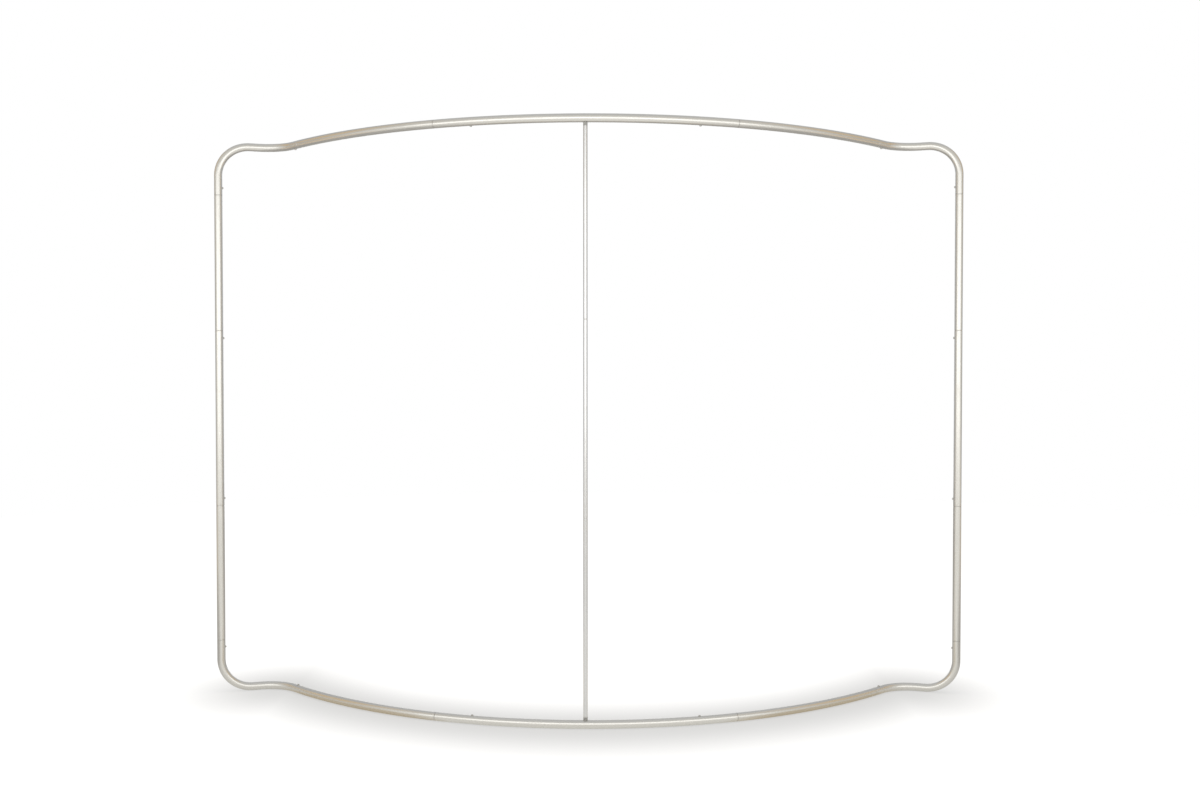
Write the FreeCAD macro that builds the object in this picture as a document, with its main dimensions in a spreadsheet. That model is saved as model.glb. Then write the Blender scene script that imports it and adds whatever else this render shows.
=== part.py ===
"""Bare tube frame of a curved fabric banner stand, ten feet wide, that knocks down into short tubes.

Millimetres, +Z up. The rails bow towards -Y in the middle, and their ends curve back the other way into the
corners. The origin is on the floor, at the middle of the width and of the depth.

The frame has two planes of symmetry, so one quarter (right, bottom) is modelled and the rest is mirrored.
Along a tube, a station is a place with its own axes: X along the tube, Y to the rear, Z to the inside of the
frame, which is the way that the snap buttons point.
"""
import FreeCAD, Part
import math
import os
import Sketcher
from FreeCAD import Placement, Rotation, Vector

SIZES = {
    # frame tube, and the hairline that shows where two tubes meet
    "tube_diameter": 32.0,
    "tube_wall": 1.5,
    "seam_gap": 0.5,
    # rails, measured along the centre line of the tube
    "rail_radius": 1800.0,
    "centre_rail_length": 1150.0,
    "side_rail_length": 690.0,
    # corner: a socket that follows the rail, a bend back in plan, a short run, a bend upwards and a leg
    "socket_spare": 2.0,
    "recurve_radius": 168.0,
    "recurve_angle": 58.0,
    "corner_run": 30.0,
    "corner_radius": 122.0,
    "corner_leg": 80.0,
    # uprights: a lower, a middle and an upper tube on each side
    "upright_end_length": 550.0,
    "upright_middle_length": 714.0,
    # spigots, bonded into one tube and sliding into the next
    "spigot_clearance": 0.2,
    "spigot_wall": 1.5,
    "spigot_grip": 60.0,
    "spigot_tip": 14.0,
    "button_setback": 30.0,
    "rail_button_setback": 148.0,
    # snap buttons and the hairpin springs that carry them
    "button_diameter": 8.0,
    "button_clearance": 0.3,
    "button_height": 4.0,
    "crown_height": 1.8,
    "crown_inset": 1.4,
    "spring_width": 9.6,
    "spring_thickness": 0.5,
    "spring_arm": 36.0,
    "spring_foot": 26.0,
    "seat_gap": 0.3,
    # centre pole: a lower, a middle and an upper tube, the last one as long as the rails leave room for
    "pole_diameter": 16.0,
    "pole_wall": 1.2,
    "pole_section_length": 730.0,
    "pole_spigot_clearance": 0.15,
    "pole_spigot_length": 80.0,
    # plugs at both ends of the pole, with a saddle on the rail and a stud through its wall
    "plug_collar": 11.0,
    "plug_shank": 25.0,
    "plug_stud_diameter": 6.0,
    "plug_stud_depth": 8.0,
    "plug_stud_clearance": 0.3,
}

doc = FreeCAD.newDocument("banner_stand_frame")
sheet = doc.addObject("Spreadsheet::Sheet", "Sizes")
for row, (alias, value) in enumerate(SIZES.items(), start=1):
    sheet.set(f"A{row}", alias.replace("_", " "))
    sheet.set(f"B{row}", str(value))
    sheet.setAlias(f"B{row}", alias)
doc.recompute()


def size(alias):
    """A driving dimension, read from the sheet."""
    return float(sheet.get(alias))


# Sizes that follow from others, as formulas for the document
TUBE_OUTER = "Sizes.tube_diameter / 2"
TUBE_INNER = "(Sizes.tube_diameter / 2 - Sizes.tube_wall)"
TUBE = (TUBE_OUTER, TUBE_INNER)
SPIGOT_OUTER = f"({TUBE_INNER} - Sizes.spigot_clearance)"
SPIGOT_INNER = f"({SPIGOT_OUTER} - Sizes.spigot_wall)"
SPIGOT = (SPIGOT_OUTER, SPIGOT_INNER)
POLE_OUTER = "Sizes.pole_diameter / 2"
POLE_INNER = "(Sizes.pole_diameter / 2 - Sizes.pole_wall)"
POLE = (POLE_OUTER, POLE_INNER)
POLE_SPIGOT_OUTER = f"({POLE_INNER} - Sizes.pole_spigot_clearance)"
POLE_SPIGOT = (POLE_SPIGOT_OUTER, f"({POLE_SPIGOT_OUTER} - Sizes.pole_wall)")
SOCKET = "(Sizes.button_setback + Sizes.spigot_tip + Sizes.socket_spare)"
SOCKET_ANGLE = f"({SOCKET} - Sizes.seam_gap / 2) / Sizes.rail_radius * 180 / pi"
CORNER_RISE = "(Sizes.corner_radius + Sizes.corner_leg)"
RAIL_SPACING = f"(2 * {CORNER_RISE} + 2 * Sizes.upright_end_length + Sizes.upright_middle_length)"
MID_HEIGHT = f"({RAIL_SPACING} + Sizes.tube_diameter) / 2"
POLE_FOOT = f"({TUBE_OUTER} + Sizes.plug_collar)"
POLE_LAST_LENGTH = f"({RAIL_SPACING} - 2 * {POLE_FOOT} - 2 * Sizes.pole_section_length)"
BUTTON_TOP = f"({TUBE_OUTER} + Sizes.button_height)"
BUTTON_HOLE = "Sizes.button_diameter / 2 + Sizes.button_clearance"
STUD_HOLE = "Sizes.plug_stud_diameter / 2 + Sizes.plug_stud_clearance"
SPRING_REST = f"(sqrt({SPIGOT_INNER} ^ 2 - (Sizes.spring_width / 2) ^ 2) - Sizes.seat_gap)"
SPRING_BEND = f"({SPRING_REST} - Sizes.spring_thickness / 2)"
BUTTON_BASE = f"({SPRING_REST} + Sizes.seat_gap / 2)"

# Places that follow from the sizes
TUBE_RADIUS = size("tube_diameter") / 2
HALF_GAP = size("seam_gap") / 2
RAIL_RADIUS = size("rail_radius")
INNER_SEAM = size("centre_rail_length") / 2
OUTER_SEAM = INNER_SEAM + size("side_rail_length")
SOCKET_LENGTH = size("button_setback") + size("spigot_tip") + size("socket_spare")
INFLECTION_ANGLE = (OUTER_SEAM + SOCKET_LENGTH) / RAIL_RADIUS
RECURVE_ANGLE = math.radians(size("recurve_angle"))
CORNER_HEADING = INFLECTION_ANGLE - RECURVE_ANGLE
RAIL_DEPTH = (RAIL_RADIUS + size("recurve_radius")) * (1 - math.cos(INFLECTION_ANGLE))
RAIL_FRONT = -RAIL_DEPTH / 2
CORNER_SEAM = TUBE_RADIUS + size("corner_radius") + size("corner_leg")
MIDDLE_SEAM = CORNER_SEAM + size("upright_end_length")
POLE_START = 2 * TUBE_RADIUS + size("plug_collar")
UP_AND_INWARDS = Rotation(Vector(0, 0, 1), Vector(0, 1, 0), Vector(-1, 0, 0), "ZXY")


def turned(angle):
    """A turn about the vertical axis, in radians."""
    return Rotation(Vector(0, 0, 1), math.degrees(angle))


def rail_station(along):
    """The place on the bottom rail at a length from the middle, along the arc."""
    angle = along / RAIL_RADIUS
    x = RAIL_RADIUS * math.sin(angle)
    y = RAIL_FRONT + RAIL_RADIUS * (1 - math.cos(angle))
    return Placement(Vector(x, y, TUBE_RADIUS), turned(angle))


def corner_station():
    """The place where the corner's upward bend starts."""
    bend = size("recurve_radius")
    run = size("corner_run")
    x = RAIL_RADIUS * math.sin(INFLECTION_ANGLE)
    x += bend * (math.sin(INFLECTION_ANGLE) - math.sin(CORNER_HEADING)) + run * math.cos(CORNER_HEADING)
    y = RAIL_FRONT + RAIL_RADIUS * (1 - math.cos(INFLECTION_ANGLE))
    y += bend * (math.cos(CORNER_HEADING) - math.cos(INFLECTION_ANGLE)) + run * math.sin(CORNER_HEADING)
    return Placement(Vector(x, y, TUBE_RADIUS), turned(CORNER_HEADING))


def upright_station(height):
    """The place on the right upright at a height above the floor."""
    start = corner_station()
    foot = start.multVec(Vector(size("corner_radius"), 0, 0))
    return Placement(Vector(foot.x, foot.y, height), start.Rotation * UP_AND_INWARDS)


def pole_station(height):
    """The place on the centre pole at a height above the floor."""
    return Placement(Vector(0, RAIL_FRONT, height), UP_AND_INWARDS)


def new_body(label):
    body = doc.addObject("PartDesign::Body", label)
    body.Label = label
    return body


def new_sketch(body, plane, name):
    """A sketch on one of the body's own origin planes."""
    sketch = body.newObject("Sketcher::SketchObject", name)
    support = next(item for item in body.Origin.OriginFeatures if item.Role == plane)
    sketch.AttachmentSupport = [(support, "")]
    sketch.MapMode = "FlatFace"
    return sketch


def bind(sketch, constraint, formula):
    """Add a constraint and tie its value to a formula of the sheet's sizes."""
    index = sketch.addConstraint(constraint)
    sketch.setExpression(f"Constraints[{index}]", formula)


def add_circle(sketch, radius, offset=None):
    """A circle round the sketch's origin, or round a point at an offset along its first axis."""
    centre = Vector(1, 0, 0) if offset else Vector()
    circle = sketch.addGeometry(Part.Circle(centre, Vector(0, 0, 1), 1))
    if offset:
        sketch.addConstraint(Sketcher.Constraint("PointOnObject", circle, 3, -1))
        bind(sketch, Sketcher.Constraint("DistanceX", -1, 1, circle, 3, 1), offset)
    else:
        sketch.addConstraint(Sketcher.Constraint("Coincident", circle, 3, -1, 1))
    bind(sketch, Sketcher.Constraint("Radius", circle, 1), radius)


def pin_corner(sketch, side, corner):
    """Hold the start of a side at a pair of formulas, where "0" puts it on the vertical axis."""
    along, up = corner
    if along == "0":
        sketch.addConstraint(Sketcher.Constraint("PointOnObject", side, 1, -2))
    else:
        bind(sketch, Sketcher.Constraint("DistanceX", -1, 1, side, 1, 1), along)
    bind(sketch, Sketcher.Constraint("DistanceY", -1, 1, side, 1, 1), up)


def add_outline(sketch, corners):
    """A closed outline of straight sides. Each corner is a pair of formulas, from the sketch's origin."""
    sides = []
    for index, corner in enumerate(corners):
        line = Part.LineSegment(Vector(index, 0, 0), Vector(index + 1, 1, 0))
        sides.append(sketch.addGeometry(line))
        pin_corner(sketch, sides[-1], corner)
    for side, follower in zip(sides, sides[1:] + sides[:1]):
        sketch.addConstraint(Sketcher.Constraint("Coincident", side, 2, follower, 1))


def add_revolution(body, sketch, angle=None):
    """Turn a sketch about its own vertical axis, all the way round or by a formula's angle."""
    turn = body.newObject("PartDesign::Revolution", body.Label + "_turn")
    turn.Profile = sketch
    turn.ReferenceAxis = (sketch, ["V_Axis"])
    turn.Angle = 360
    if angle:
        turn.setExpression("Angle", angle)


def add_pipe(body, profile, path):
    """Sweep a profile along all the edges of a path."""
    pipe = body.newObject("PartDesign::AdditivePipe", path.Name + "_pipe")
    pipe.Profile = profile
    pipe.Spine = (path, [f"Edge{index + 1}" for index in range(path.GeometryCount)])


def straight_tube(label, station, length, radii):
    """A straight tube that runs along X from a station."""
    body = new_body(label)
    ring = new_sketch(body, "YZ_Plane", label + "_ring")
    for radius in radii:
        add_circle(ring, radius)
    pad = body.newObject("PartDesign::Pad", label + "_pad")
    pad.Profile = ring
    pad.setExpression("Length", length)
    body.Placement = station
    return body


def rolled_tube(label, along, length, radii):
    """A tube rolled to the rail's radius, from a length along the rail."""
    body = new_body(label)
    ring = new_sketch(body, "XZ_Plane", label + "_ring")
    for radius in radii:
        add_circle(ring, radius, "Sizes.rail_radius")
    add_revolution(body, ring, f"({length}) / Sizes.rail_radius * 180 / pi")
    centre = Vector(0, RAIL_FRONT + RAIL_RADIUS, TUBE_RADIUS)
    body.Placement = Placement(centre, turned(along / RAIL_RADIUS - math.pi / 2))
    return body


def corner_plan(body, label):
    """The corner's path seen from above: back along the run, round the recurve and along the socket."""
    run = size("corner_run")
    bend = size("recurve_radius")
    socket_angle = (SOCKET_LENGTH - HALF_GAP) / RAIL_RADIUS
    square = math.pi / 2
    inflection = RECURVE_ANGLE - square
    bend_centre = Vector(-run, -bend, 0)
    outwards = Vector(-math.sin(RECURVE_ANGLE), math.cos(RECURVE_ANGLE), 0)
    rail_centre = bend_centre + outwards * (bend + RAIL_RADIUS)
    bend_circle = Part.Circle(bend_centre, Vector(0, 0, 1), bend)
    rail_circle = Part.Circle(rail_centre, Vector(0, 0, 1), RAIL_RADIUS)

    plan = new_sketch(body, "XY_Plane", label)
    straight = plan.addGeometry(Part.LineSegment(Vector(), Vector(-run, 0, 0)))
    recurve = plan.addGeometry(Part.Arc(bend_circle, square, square + RECURVE_ANGLE))
    socket = plan.addGeometry(Part.Arc(rail_circle, inflection - socket_angle, inflection))
    plan.addConstraint(Sketcher.Constraint("Coincident", straight, 1, -1, 1))
    plan.addConstraint(Sketcher.Constraint("Horizontal", straight))
    bind(plan, Sketcher.Constraint("Distance", straight, run), "Sizes.corner_run")
    plan.addConstraint(Sketcher.Constraint("Tangent", straight, 2, recurve, 1))
    bind(plan, Sketcher.Constraint("Radius", recurve, bend), "Sizes.recurve_radius")
    bind(plan, Sketcher.Constraint("Angle", recurve, RECURVE_ANGLE), "Sizes.recurve_angle * 1 deg")
    plan.addConstraint(Sketcher.Constraint("Tangent", recurve, 2, socket, 2))
    bind(plan, Sketcher.Constraint("Radius", socket, RAIL_RADIUS), "Sizes.rail_radius")
    bind(plan, Sketcher.Constraint("Angle", socket, socket_angle), f"{SOCKET_ANGLE} * 1 deg")
    return plan


def corner_side(body, label):
    """The corner's path seen from the side: round the upward bend and along the leg."""
    bend = size("corner_radius")
    leg_length = size("corner_leg") - HALF_GAP
    circle = Part.Circle(Vector(0, bend, 0), Vector(0, 0, 1), bend)
    bend_end = Vector(bend, bend, 0)

    side = new_sketch(body, "XZ_Plane", label)
    upwards = side.addGeometry(Part.Arc(circle, -math.pi / 2, 0))
    leg = side.addGeometry(Part.LineSegment(bend_end, bend_end + Vector(0, leg_length, 0)))
    side.addConstraint(Sketcher.Constraint("Coincident", upwards, 1, -1, 1))
    side.addConstraint(Sketcher.Constraint("PointOnObject", upwards, 3, -2))
    bind(side, Sketcher.Constraint("Radius", upwards, bend), "Sizes.corner_radius")
    side.addConstraint(Sketcher.Constraint("Tangent", upwards, 2, leg, 1))
    side.addConstraint(Sketcher.Constraint("Vertical", leg))
    bind(side, Sketcher.Constraint("Distance", leg, leg_length), "Sizes.corner_leg - Sizes.seam_gap / 2")
    return side


def corner_tube(label):
    """The bent corner tube, swept both ways from the place where its upward bend starts."""
    body = new_body(label)
    for path in (corner_plan(body, label + "_plan"), corner_side(body, label + "_side")):
        ring = new_sketch(body, "YZ_Plane", path.Name + "_ring")
        for radius in TUBE:
            add_circle(ring, radius)
        add_pipe(body, ring, path)
    body.Placement = corner_station()
    return body


def drill(blank, label, holes):
    """Drill the inner wall of a tube. A hole is a station and the formula of its radius."""
    drills = []
    for station, radius in holes:
        cylinder = doc.addObject("Part::Cylinder", label + "_drill")
        cylinder.setExpression("Radius", radius)
        cylinder.setExpression("Height", "Sizes.tube_diameter")
        cylinder.Placement = station
        drills.append(cylinder)
    tools = doc.addObject("Part::Compound", label + "_drills")
    tools.Links = drills
    cut = doc.addObject("Part::Cut", label)
    cut.Base = blank
    cut.Tool = tools
    cut.Label = label
    return cut


def snap_button(label, station):
    """A steel button with a crowned top, standing on its spring."""
    body = new_body(label)
    outline = new_sketch(body, "XZ_Plane", label + "_outline")
    shank = "Sizes.button_diameter / 2"
    crown = f"{shank} - Sizes.crown_inset"
    shoulder = f"{BUTTON_TOP} - Sizes.crown_height"
    corners = [("0", BUTTON_BASE), (shank, BUTTON_BASE), (shank, shoulder)]
    add_outline(outline, corners + [(crown, BUTTON_TOP), ("0", BUTTON_TOP)])
    add_revolution(body, outline)
    body.Placement = station
    return body


def hairpin_spring(label, station):
    """A strip of spring steel bent into a hairpin, one arm under the button and one along the far wall."""
    body = new_body(label)
    tip = "Sizes.button_diameter / 2"
    radius = size("spring_width")
    bend = new_sketch(body, "XZ_Plane", label + "_bend")
    bend.setExpression("AttachmentOffset.Base.x", "Sizes.spring_arm")
    upper = bend.addGeometry(Part.LineSegment(Vector(-radius, radius, 0), Vector(0, radius, 0)))
    circle = Part.Circle(Vector(), Vector(0, 0, 1), radius)
    loop = bend.addGeometry(Part.Arc(circle, -math.pi / 2, math.pi / 2))
    lower = bend.addGeometry(Part.LineSegment(Vector(0, -radius, 0), Vector(-radius, -radius, 0)))
    bend.addConstraint(Sketcher.Constraint("Coincident", loop, 3, -1, 1))
    for end in (1, 2):
        bend.addConstraint(Sketcher.Constraint("PointOnObject", loop, end, -2))
    bend.addConstraint(Sketcher.Constraint("Coincident", upper, 2, loop, 2))
    bend.addConstraint(Sketcher.Constraint("Coincident", lower, 1, loop, 1))
    for arm in (upper, lower):
        bend.addConstraint(Sketcher.Constraint("Horizontal", arm))
    bind(bend, Sketcher.Constraint("Radius", loop, radius), SPRING_BEND)
    bind(bend, Sketcher.Constraint("Distance", upper, radius), f"Sizes.spring_arm + {tip}")
    bind(bend, Sketcher.Constraint("Distance", lower, radius), "Sizes.spring_foot")

    strip = new_sketch(body, "YZ_Plane", label + "_strip")
    strip.setExpression("AttachmentOffset.Base.z", f"-{tip}")
    edge = "Sizes.spring_width / 2"
    low = f"{SPRING_REST} - Sizes.spring_thickness"
    add_outline(strip, [(f"-{edge}", low), (edge, low), (edge, SPRING_REST), (f"-{edge}", SPRING_REST)])
    add_pipe(body, strip, bend)
    body.Placement = station
    return body


def pole_plug(label, station):
    """A plug in the foot of the pole: a shank, a collar with a saddle on the rail, and a stud into the rail."""
    body = new_body(label)
    outline = new_sketch(body, "XZ_Plane", label + "_outline")
    shank_end = f"({POLE_FOOT} + Sizes.plug_shank)"
    corners = [("0", TUBE_INNER), (POLE_OUTER, TUBE_INNER), (POLE_OUTER, POLE_FOOT)]
    corners += [(POLE_SPIGOT_OUTER, POLE_FOOT), (POLE_SPIGOT_OUTER, shank_end), ("0", shank_end)]
    add_outline(outline, corners)
    add_revolution(body, outline)

    saddle = new_sketch(body, "YZ_Plane", label + "_saddle")
    add_circle(saddle, f"{TUBE_OUTER} + Sizes.seat_gap")
    cut = body.newObject("PartDesign::Pocket", label + "_saddle_cut")
    cut.Profile = saddle
    cut.SideType = "Symmetric"
    cut.setExpression("Length", "2 * Sizes.pole_diameter")

    stud = new_sketch(body, "XY_Plane", label + "_stud")
    stud.setExpression("AttachmentOffset.Base.z", f"{TUBE_OUTER} - Sizes.plug_stud_depth")
    add_circle(stud, "Sizes.plug_stud_diameter / 2")
    pad = body.newObject("PartDesign::Pad", label + "_stud_pad")
    pad.Profile = stud
    pad.setExpression("Length", "Sizes.plug_stud_depth + Sizes.plug_collar")
    body.Placement = station
    return body


OTHER_SIDE = {"right": "left"}
OTHER_LEVEL = {"bottom": "top", "lower": "upper"}


def mirrored(item, normal, words):
    """A mirror image, named with the words for its own place."""
    label = "_".join(words.get(word, word) for word in item.Label.split("_"))
    image = doc.addObject("Part::Mirroring", label)
    image.Source = item
    image.Normal = normal
    image.Label = label
    return image


def across(item):
    """The same piece on the left side."""
    return mirrored(item, Vector(1, 0, 0), OTHER_SIDE)


def above(item):
    """The same piece at the top."""
    image = mirrored(item, Vector(0, 0, 1), OTHER_LEVEL)
    image.setExpression("Base.z", MID_HEIGHT)
    return image


def all_quarters(item):
    """A piece of the modelled quarter with its three mirror images."""
    left = across(item)
    return [item, left, above(item), above(left)]


def group(label, items):
    """All the like pieces of the frame in one node, from those of one quarter."""
    quarter = doc.addObject("Part::Compound", label + "_right_bottom")
    quarter.Links = items
    half = doc.addObject("Part::Compound", label + "_bottom")
    half.Links = [quarter, across(quarter)]
    whole = doc.addObject("Part::Compound", label)
    whole.Links = [half, above(half)]
    whole.Label = label
    return whole


nodes = []
setback = size("button_setback")
rail_setback = size("rail_button_setback")

# Corner tubes: a button hole in the socket and one in the leg
label = "corner_bottom_right"
holes = [(rail_station(OUTER_SEAM + setback), BUTTON_HOLE)]
holes.append((upright_station(CORNER_SEAM - setback), BUTTON_HOLE))
nodes += all_quarters(drill(corner_tube(label + "_blank"), label, holes))

# Side rails and end uprights, which carry a spigot at each end
side_length = "Sizes.side_rail_length - Sizes.seam_gap"
nodes += all_quarters(rolled_tube("bottom_rail_right", INNER_SEAM + HALF_GAP, side_length, TUBE))
end_length = "Sizes.upright_end_length - Sizes.seam_gap"
end_start = upright_station(CORNER_SEAM + HALF_GAP)
nodes += all_quarters(straight_tube("upright_right_lower", end_start, end_length, TUBE))

# Centre rails: two button holes, and one for the stud of the pole's plug
label = "bottom_rail_centre"
holes = [(rail_station(0), STUD_HOLE)]
for along in (INNER_SEAM - rail_setback, rail_setback - INNER_SEAM):
    holes.append((rail_station(along), BUTTON_HOLE))
length = "Sizes.centre_rail_length - Sizes.seam_gap"
blank = rolled_tube(label + "_blank", HALF_GAP - INNER_SEAM, length, TUBE)
centre_rail = drill(blank, label, holes)
nodes += [centre_rail, above(centre_rail)]

# Middle uprights: a button hole near each end
label = "upright_right_middle"
far_button = MIDDLE_SEAM + size("upright_middle_length") - setback
holes = [(upright_station(height), BUTTON_HOLE) for height in (MIDDLE_SEAM + setback, far_button)]
length = "Sizes.upright_middle_length - Sizes.seam_gap"
blank = straight_tube(label + "_blank", upright_station(MIDDLE_SEAM + HALF_GAP), length, TUBE)
middle = drill(blank, label, holes)
nodes += [middle, across(middle)]

# Joints between the tubes of one quarter: a name, the node of its spigot, the way to place things along the
# tube, where the seam is, which way the spigot slides in, and how far past the seam its button is
JOINTS = (
    ("right_corner_bottom", "upright_spigots", upright_station, CORNER_SEAM, -1, "button_setback"),
    ("right_middle_lower", "upright_spigots", upright_station, MIDDLE_SEAM, 1, "button_setback"),
    ("bottom_corner_right", "rail_end_spigots", rail_station, OUTER_SEAM, 1, "button_setback"),
    ("bottom_centre_right", "rail_centre_spigots", rail_station, INNER_SEAM, -1, "rail_button_setback"),
)
hidden = {"upright_spigots": [], "rail_end_spigots": [], "rail_centre_spigots": [], "button_springs": []}
for name, spigots, station, seam, way, button_at in JOINTS:
    label = "spigot_" + name
    fixed_end = seam - way * size("spigot_grip")
    free_end = seam + way * (size(button_at) + size("spigot_tip"))
    start = min(fixed_end, free_end)
    length = f"Sizes.spigot_grip + Sizes.{button_at} + Sizes.spigot_tip"
    if station is rail_station:
        blank = rolled_tube(label + "_blank", start, length, SPIGOT)
    else:
        blank = straight_tube(label + "_blank", station(start), length, SPIGOT)
    button_place = station(seam + way * size(button_at))
    hidden[spigots].append(drill(blank, label, [(button_place, BUTTON_HOLE)]))
    nodes += all_quarters(snap_button("button_" + name, button_place))
    # the hairpin lies on the side of the button that the spigot comes from
    facing = turned(math.pi if way > 0 else 0)
    spring_place = button_place * Placement(Vector(), facing)
    hidden["button_springs"].append(hairpin_spring("spring_" + name, spring_place))
nodes += [group(label, items) for label, items in hidden.items()]

# Centre pole
section = size("pole_section_length")
lengths = ("Sizes.pole_section_length", "Sizes.pole_section_length", POLE_LAST_LENGTH)
for index, name in enumerate(("pole_lower", "pole_middle", "pole_upper")):
    start = pole_station(POLE_START + index * section + HALF_GAP)
    nodes.append(straight_tube(name, start, f"{lengths[index]} - Sizes.seam_gap", POLE))
for index, name in enumerate(("pole_spigot_lower", "pole_spigot_upper"), start=1):
    start = pole_station(POLE_START + index * section - size("pole_spigot_length") / 2)
    nodes.append(straight_tube(name, start, "Sizes.pole_spigot_length", POLE_SPIGOT))
plug = pole_plug("pole_plug_bottom", rail_station(0))
nodes += [plug, above(plug)]

# Check the document, then write one file for each node
doc.recompute()
for item in doc.Objects:
    if "Invalid" in item.State or "Error" in item.State:
        raise RuntimeError(f"{item.Label} did not build: {item.State}")
for node in nodes:
    if node.Shape.isNull() or not node.Shape.isValid() or not node.Shape.Solids:
        raise RuntimeError(f"{node.Label} has no valid solid")

os.makedirs("parts", exist_ok=True)
for node in nodes:
    node.Shape.exportStep(f"parts/{node.Label}.step")
print(len(nodes), "nodes,", sum(len(node.Shape.Solids) for node in nodes), "solids")
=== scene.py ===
# %% [markdown]
# # The bare tube frame of a curved fabric banner stand
#
# A stretch-fabric banner hides its frame: a loop of silver aluminium tube, ten feet wide, with a thin pole
# in the middle. The tubes plug together over hidden spigots, and a spring-loaded button holds each joint.
# This notebook dresses the solid model of that frame: it replaces the plain tubes with deburred ones that
# know their own length, gives every metal its finish, and sets up the studio. Lengths are in metres, and
# only the lens and its sensor are in millimetres.

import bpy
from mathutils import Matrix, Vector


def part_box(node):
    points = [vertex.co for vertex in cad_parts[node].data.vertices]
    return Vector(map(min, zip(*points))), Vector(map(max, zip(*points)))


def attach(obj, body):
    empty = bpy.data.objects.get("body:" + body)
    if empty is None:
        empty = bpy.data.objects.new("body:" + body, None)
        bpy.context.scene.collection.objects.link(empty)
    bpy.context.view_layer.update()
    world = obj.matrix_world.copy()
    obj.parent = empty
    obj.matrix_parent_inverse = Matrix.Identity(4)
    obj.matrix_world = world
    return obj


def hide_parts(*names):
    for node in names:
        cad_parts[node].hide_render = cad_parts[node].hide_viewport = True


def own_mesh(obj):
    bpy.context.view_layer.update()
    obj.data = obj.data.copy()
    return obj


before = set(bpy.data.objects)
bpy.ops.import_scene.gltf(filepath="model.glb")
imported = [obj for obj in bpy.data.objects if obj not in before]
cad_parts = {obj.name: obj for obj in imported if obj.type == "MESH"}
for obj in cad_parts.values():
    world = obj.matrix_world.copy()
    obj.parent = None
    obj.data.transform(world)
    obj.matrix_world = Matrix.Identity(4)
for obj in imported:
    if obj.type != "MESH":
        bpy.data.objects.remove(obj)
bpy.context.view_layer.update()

# %% Other modules
import math

import bmesh
import bpy
from mathutils import Matrix, Vector

scene = bpy.context.scene
scene.view_settings.view_transform = "Standard"
print("view:", scene.view_settings.view_transform)

# %% [markdown]
# ## Camera
#
# The picture was taken from about four metres in front of the frame and a little over waist height, with a
# wide lens. A camera can be placed by eye, but then a long thin frame never quite lines up. Here the place,
# the dip and the focal length come from fitting the outline, and the focal length is kept in pixels of the
# picture, so that the lens follows from the sensor's width.

# %% Camera
PICTURE_WIDTH = 1200
FOCAL_PIXELS = 1076.85
SENSOR_WIDTH = 36.0
CAMERA_PLACE = (0.0847, -4.1826, 1.2816)
CAMERA_DIP = 1.096
CAMERA_TURN = 0.458

camera_data = bpy.data.cameras.new("picture_camera")
camera_data.sensor_width = SENSOR_WIDTH
camera_data.lens = SENSOR_WIDTH * FOCAL_PIXELS / PICTURE_WIDTH
camera = bpy.data.objects.new("picture_camera", camera_data)
camera.location = CAMERA_PLACE
camera.rotation_euler = (math.radians(90 - CAMERA_DIP), 0, math.radians(CAMERA_TURN))
scene.collection.objects.link(camera)
scene.camera = camera
print(f"lens {camera_data.lens:.2f} mm")

# %% [markdown]
# ## The line that the loop follows
#
# The frame is one closed line in space: a rail rolled to a wide arc, a bend back the other way, a short
# straight run, a bend upwards and a straight upright. One quarter of it is enough, because the left side and
# the top are mirror images. A curve object could carry that line, but a small function does more: for any
# length along the tube it gives the centre and three axes, X along the tube, Y to the rear and Z to the
# inside of the loop, which is the way that the buttons point. Everything later is placed with it.

# %% The sizes of the loop
TUBE_RADIUS = 0.016
TUBE_BORE = 0.0145
RAIL_RADIUS = 1.8
RAIL_FRONT = -0.249656
RECURVE_RADIUS = 0.168
RECURVE_ANGLE = math.radians(58)
CORNER_RUN = 0.030
CORNER_RADIUS = 0.122
FRAME_HEIGHT = 2.25

RECURVE_START = 1.311
RUN_START = RECURVE_START + RECURVE_RADIUS * RECURVE_ANGLE
BEND_START = RUN_START + CORNER_RUN
UPRIGHT_START = BEND_START + CORNER_RADIUS * math.pi / 2
RAIL_END_HEADING = RECURVE_START / RAIL_RADIUS
print(f"half a rail turns by {math.degrees(RAIL_END_HEADING):.1f} degrees")

# %% Places along the loop
UP = Vector((0, 0, 1))


def facing(heading):
    """A level direction at an angle from +X."""
    return Vector((math.cos(heading), math.sin(heading), 0))


def place_matrix(centre, along, inside):
    """A place with X along the tube and Z to the inside of the loop."""
    turned = Matrix((along, inside.cross(along), inside)).transposed()
    return Matrix.Translation(centre) @ turned.to_4x4()


def arc_step(radius, start, end):
    """The way from one heading to another along a level arc that turns left for a positive radius."""
    return Vector((math.sin(end) - math.sin(start), math.cos(start) - math.cos(end), 0)) * radius


def loop_place(length):
    """The place at a length along the loop, from the middle of the bottom rail to the right and then up."""
    heading = min(length, RECURVE_START) / RAIL_RADIUS
    centre = Vector((0, RAIL_FRONT, TUBE_RADIUS)) + arc_step(RAIL_RADIUS, 0, heading)
    if length > RECURVE_START:
        bent = (min(length, RUN_START) - RECURVE_START) / RECURVE_RADIUS
        heading = RAIL_END_HEADING - bent
        centre += arc_step(-RECURVE_RADIUS, RAIL_END_HEADING, heading)
    level = facing(heading)
    centre += level * (min(max(length, RUN_START), BEND_START) - RUN_START)
    raised = (min(max(length, BEND_START), UPRIGHT_START) - BEND_START) / CORNER_RADIUS
    centre += (level * math.sin(raised) + UP * (1 - math.cos(raised))) * CORNER_RADIUS
    centre += UP * (max(length, UPRIGHT_START) - UPRIGHT_START)
    along = level * math.cos(raised) + UP * math.sin(raised)
    return place_matrix(centre, along, UP * math.cos(raised) - level * math.sin(raised))


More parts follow.
